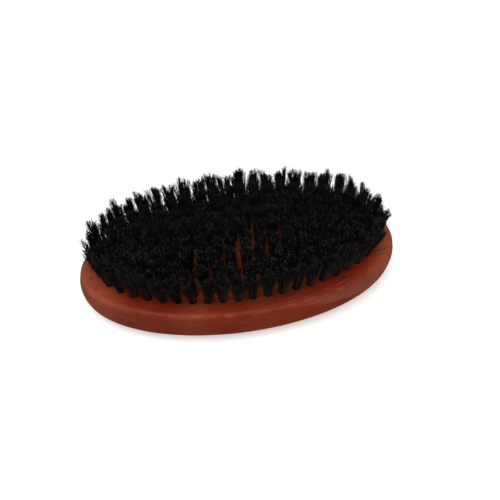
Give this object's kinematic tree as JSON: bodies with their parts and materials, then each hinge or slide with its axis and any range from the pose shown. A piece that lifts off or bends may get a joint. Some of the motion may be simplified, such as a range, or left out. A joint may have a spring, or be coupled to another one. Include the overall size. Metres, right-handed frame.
{
  "type": "beard brush",
  "caption": "Handleless oval palm brush for a beard: a drilled wooden block with tufts of short dark bristle that fan outwards.",
  "frame": {"origin": "middle of the flat land on the block's back, which the brush rests on", "axes": "+Z out of the face that holds the bristles, X along the brush's length, Y across it"},
  "size_m": [0.125, 0.066, 0.0314],
  "materials": {
    "wood": "lacquered",
    "bristle": "matt",
    "anchor_wire": "plain"
  },
  "bodies": {
    "root": {"wood_block": "wood", "outer_tuft_01": "bristle", "outer_tuft_02": "bristle", "outer_tuft_03": "bristle", "outer_tuft_04": "bristle", "outer_tuft_05": "bristle", "outer_tuft_06": "bristle", "outer_tuft_07": "bristle", "outer_tuft_08": "bristle", "outer_tuft_09": "bristle", "outer_tuft_10": "bristle", "outer_tuft_11": "bristle", "outer_tuft_12": "bristle", "outer_tuft_13": "bristle", "outer_tuft_14": "bristle", "outer_tuft_15": "bristle", "outer_tuft_16": "bristle", "outer_tuft_17": "bristle", "outer_tuft_18": "bristle", "outer_tuft_19": "bristle", "outer_tuft_20": "bristle", "outer_tuft_21": "bristle", "outer_tuft_22": "bristle", "outer_tuft_23": "bristle", "outer_tuft_24": "bristle", "outer_tuft_25": "bristle", "outer_tuft_26": "bristle", "outer_tuft_27": "bristle", "outer_tuft_28": "bristle", "outer_tuft_29": "bristle", "outer_tuft_30": "bristle", "outer_tuft_31": "bristle", "outer_tuft_32": "bristle", "outer_tuft_33": "bristle", "outer_tuft_34": "bristle", "outer_tuft_35": "bristle", "outer_tuft_36": "bristle", "outer_tuft_37": "bristle", "outer_tuft_38": "bristle", "outer_tuft_39": "bristle", "outer_tuft_40": "bristle", "outer_tuft_41": "bristle", "outer_tuft_42": "bristle", "outer_tuft_43": "bristle", "outer_tuft_44": "bristle", "outer_tuft_45": "bristle", "outer_tuft_46": "bristle", "second_ring_arc_1": "bristle", "second_ring_arc_2": "bristle", "second_ring_arc_3": "bristle", "second_ring_arc_4": "bristle", "third_ring_arc_1": "bristle", "third_ring_arc_2": "bristle", "third_ring_arc_3": "bristle", "third_ring_arc_4": "bristle", "fourth_ring_arc_1": "bristle", "fourth_ring_arc_2": "bristle", "fourth_ring_arc_3": "bristle", "fourth_ring_arc_4": "bristle", "centre_row": "bristle"}
  },
  "joints": []
}
